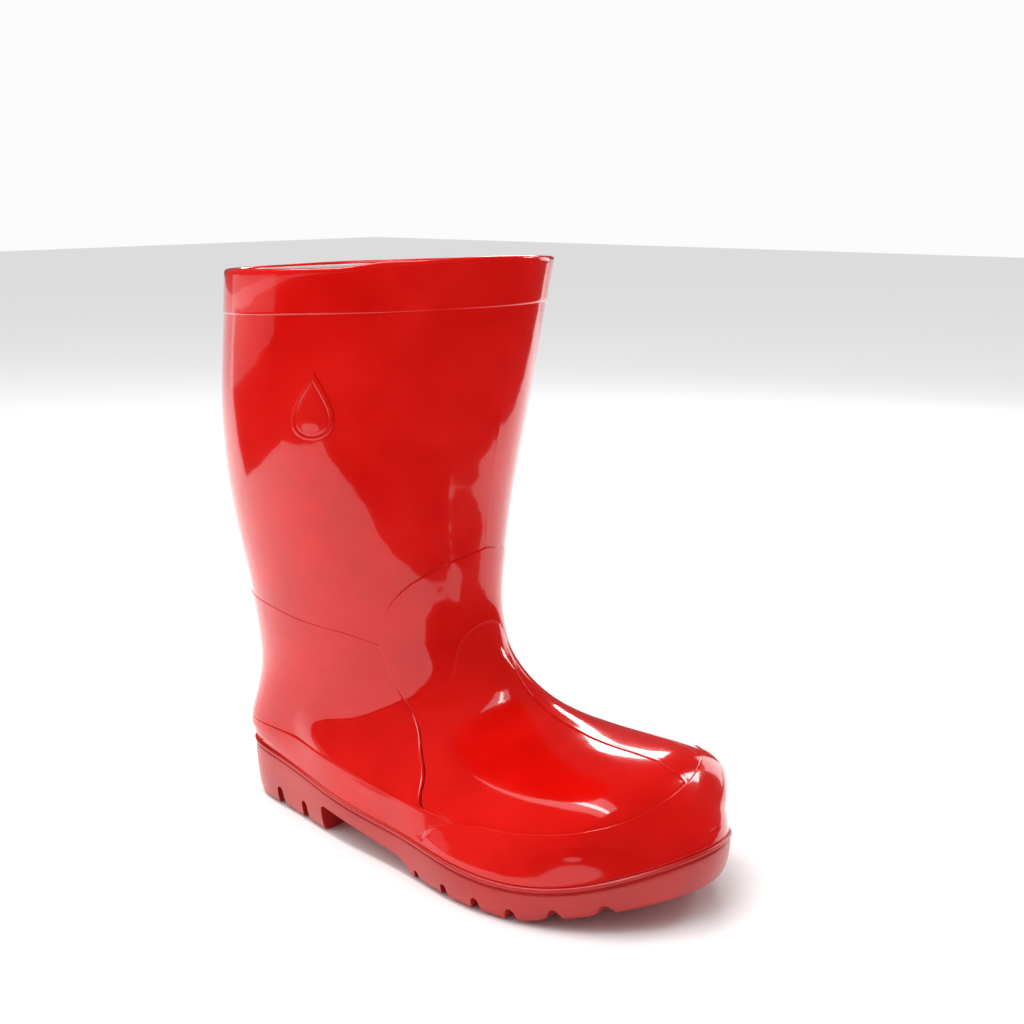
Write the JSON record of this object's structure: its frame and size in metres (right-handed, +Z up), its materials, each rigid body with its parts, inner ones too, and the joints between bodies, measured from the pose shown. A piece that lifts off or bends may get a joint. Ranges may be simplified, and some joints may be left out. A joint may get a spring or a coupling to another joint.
{
  "type": "rain boot",
  "caption": "Glossy knee-low junior rain boot for the right foot, with a wide leg, raised overlay panels, toe guard, lugged sole and knitted lining.",
  "frame": {"origin": "centre of the boot's footprint box, on the ground it stands on", "axes": "+Z up the leg, -Y towards the toe, +Y towards the heel, +X the inner (big toe) side and -X the outer side of this right boot"},
  "size_m": [0.1054, 0.2158, 0.2161],
  "materials": {
    "leg_rubber": "high gloss",
    "panel_rubber": "high gloss",
    "trim_rubber": "high gloss",
    "sole_rubber": "semi-gloss",
    "knit": "fine rib knit",
    "board": "pressed fibre board",
    "foam": "knit-faced foam",
    "filler_foam": "closed-cell foam",
    "stiffener": "stiffened felt"
  },
  "bodies": {
    "root": {"leg_shell": "leg_rubber", "top_band": "trim_rubber", "vamp": "panel_rubber", "heel_counter": "panel_rubber", "foxing": "trim_rubber", "toe_guard": "panel_rubber", "instep_strip": "trim_rubber", "badge": "trim_rubber", "outsole": "sole_rubber", "heel_filler": "filler_foam", "forefoot_filler": "filler_foam", "insole_board": "board", "heel_stiffener": "stiffener", "toe_puff": "stiffener", "knit_lining": "knit", "footbed": "foam"}
  },
  "joints": []
}
